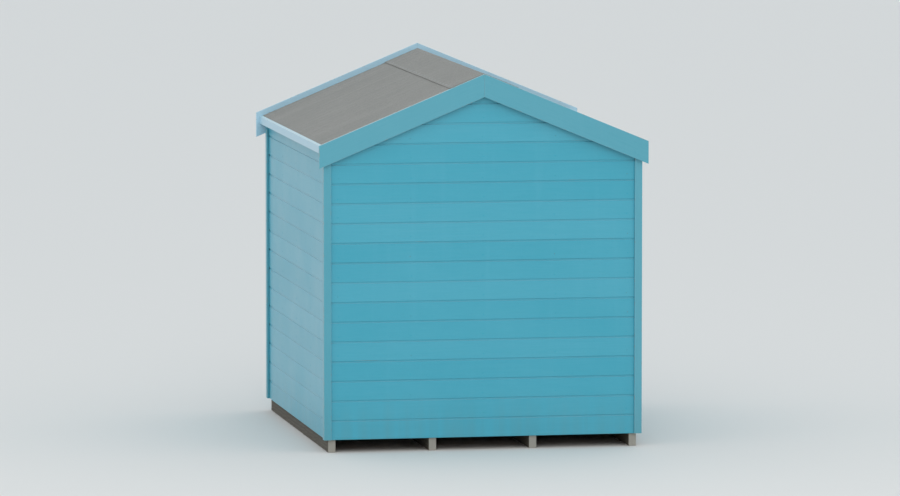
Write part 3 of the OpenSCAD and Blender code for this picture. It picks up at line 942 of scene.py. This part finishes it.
def wall_nails(name, columns, place, way, seed):
    """Nails in every course. A column is (across, lowest, highest), and place puts a nail on the wall."""
    draw = random.Random(seed)
    bm = bmesh.new()
    for across, lowest, highest in columns:
        for course in range(math.ceil((highest - FOOT) / COVER)):
            x = across + draw.uniform(-0.006, 0.006)
            z = FOOT + COVER * course + NAIL_UP + draw.uniform(-0.005, 0.005)
            if lowest < z < highest - 0.03:
                dome(bm, place(x, z), way, NAIL_R, NAIL_H)
    piece(bm, name, NAIL_PAINT, round_up=True)


# %% Nail each wall
side_columns = [(SIDE_REACH * share, 0, EAVES) for share in (-1, -0.5, 0, 0.5, 1)]
wall_nails("nails_right", side_columns, lambda y, z: (HALF_W, y, z), (1, 0, 0), 101)
wall_nails("nails_left", side_columns, lambda y, z: (-HALF_W, y, z), (-1, 0, 0), 102)
end_columns = [(END_REACH * share, 0, under(END_REACH * share)) for share in (-1, -0.5, 0, 0.5, 1)]
wall_nails("nails_back", end_columns, lambda x, z: (x, HALF_D, z), (0, 1, 0), 103)
front_columns = [(x * side, 0, under(x)) for x in (END_REACH, JAMB_STUD) for side in (-1, 1)]
front_columns += [(END_REACH * share, HEAD_TOP, under(END_REACH * share)) for share in (-0.5, 0, 0.5)]
wall_nails("nails_front", front_columns, lambda x, z: (x, -HALF_D, z), (0, -1, 0), 104)

# %% Nails of the trims
BARGE_NAILS = [0.05 + 0.24 * step for step in range(5)]
CORNER_NAILS = [0.07 + 0.29 * step for step in range(7)]
NAIL_IN = 0.026
teal_nails, pale_nails = bmesh.new(), bmesh.new()
for sign in (-1, 1):
    for end, nails in ((1, teal_nails), (-1, pale_nails)):
        low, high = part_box("barge_back_right" if end > 0 else "barge_front_right")
        face = high.y if end > 0 else low.y
        depth = high.z - (low.z + high.x * FALL)
        for x in BARGE_NAILS:
            for share in (0.28, 0.72):
                z = high.z - x * FALL - depth * share
                dome(nails, (sign * x, face, z), (0, end, 0), NAIL_R, NAIL_H)
    low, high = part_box("eaves_board_right")
    for step in range(7):
        y = (step / 3 - 1) * SIDE_REACH
        z = low.z + (0.3 + 0.3 * (step % 2)) * (high.z - low.z)
        dome(pale_nails, (sign * high.x, y, z), (sign, 0, 0), NAIL_R, NAIL_H)
    low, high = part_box("corner_trim_back_right")
    for end in (-1, 1):
        for up in CORNER_NAILS:
            z = low.z + up
            dome(teal_nails, (sign * high.x, end * (high.y - NAIL_IN), z), (sign, 0, 0), NAIL_R, NAIL_H)
            z += 0.04
            dome(teal_nails, (sign * (high.x - NAIL_IN), end * high.y, z), (0, end, 0), NAIL_R, NAIL_H)
piece(teal_nails, "nails_trims", TRIM_PAINT, round_up=True)
piece(pale_nails, "nails_pale_trims", PALE_PAINT, round_up=True)

# %% Nails of the doors
door_nails = bmesh.new()
for sign in (-1, 1):
    for number in range(LEAF_BOARDS):
        for ledge in range(3):
            for aside, up in ((0.25, 0.3), (0.75, 0.7)):
                x = LEAF_IN + DOOR_COVER * (number + aside)
                z = LEDGE_LOW + LEDGE_STEP * ledge + LEDGE_W * up
                if x < HINGE_X - STRAP_L or abs(up - 0.5) * LEDGE_W > STRAP_W / 2:
                    dome(door_nails, (sign * x, -DOOR_FACE, z), (0, -1, 0), NAIL_R, NAIL_H)
piece(door_nails, "nails_doors", TRIM_PAINT, round_up=True)

# %% Clout nails of the felt
CLOUT_R, CLOUT_H = 0.0055, 0.0012
clouts = bmesh.new()
for sign in (-1, 1):
    way = (sign * math.sin(PITCH), 0, math.cos(PITCH))
    for step in range(-12, 13):
        x = CAP_REACH - 0.018
        dome(clouts, (sign * x, NAIL_STEP * step, CAP_TOP - x * FALL), way, CLOUT_R, CLOUT_H)
    for end in (-1, 1):
        for step in range(8):
            x = CAP_REACH + 0.06 + NAIL_STEP * step
            dome(clouts, (sign * x, end * (FELT_Y - 0.03), FELT_TOP - x * FALL), way, CLOUT_R, CLOUT_H)
piece(clouts, "felt_nails", ZINC, round_up=True)

# %% [markdown]
# The stage is a wide pale floor under a pale sky. The sky gives soft light from all round, and one wide
# lamp stands high behind the camera. It lights the gable evenly and leaves the long side to shine with
# the sky alone.

# %% Floor
grid = bmesh.new()
bmesh.ops.create_grid(grid, x_segments=1, y_segments=1, size=150)
ground = new_object(grid, "floor")
made, tree, shader = new_material("pale floor")
shader.inputs["Base Color"].default_value = rgb(226, 224, 219)
shader.inputs["Roughness"].default_value = 0.9
ground.data.materials.append(made)

# %% Sky
sky = bpy.data.worlds.new("sky")
bpy.context.scene.world = sky
sky.use_nodes = True
tree = sky.node_tree
paths = add(tree, "LightPath").outputs
seen = maths(tree, "MAXIMUM", paths["Is Camera Ray"], paths["Is Glossy Ray"])
seen = maths(tree, "MAXIMUM", seen, paths["Is Transmission Ray"])
backdrop = tree.nodes["Background"]
tree.links.new(mix(tree, seen, rgb(236, 243, 250), rgb(232, 239, 246)), backdrop.inputs["Color"])
backdrop.inputs["Strength"].default_value = 1.0

# %% Lamp
def place_and_aim(made, place, target):
    """Puts a lamp or a camera in the scene, turned to look at a target."""
    made.location = place
    made.rotation_euler = (target - place).to_track_quat("-Z", "Y").to_euler()
    bpy.context.scene.collection.objects.link(made)


lamp = bpy.data.lights.new("wide lamp", "AREA")
lamp.shape = "DISK"
lamp.size = 9
lamp.energy = 460
lamp.color = (1.0, 0.97, 0.92)
place_and_aim(bpy.data.objects.new("wide lamp", lamp), Vector((2, 16, 10)), Vector((0, 0, 1.2)))

# %% [markdown]
# The photograph takes in a wide view, and the hut stands far to one side of it, where a wide view draws
# things with almost no perspective. A camera that points straight at the hut sees the same corners in the
# same places from twice as far off, with a long lens to bring the hut near. Moving closer would make the
# near corner loom.

# %% Camera
CAMERA_AT = Vector((8.67, 46.87, 5.88))
AIM = Vector((0, 0, 1.22))
eye = bpy.data.cameras.new("camera")
eye.lens = 284
eye.clip_end = 500
camera = bpy.data.objects.new("camera", eye)
place_and_aim(camera, CAMERA_AT, AIM)
bpy.context.scene.camera = camera
bpy.context.scene.view_settings.view_transform = "Standard"
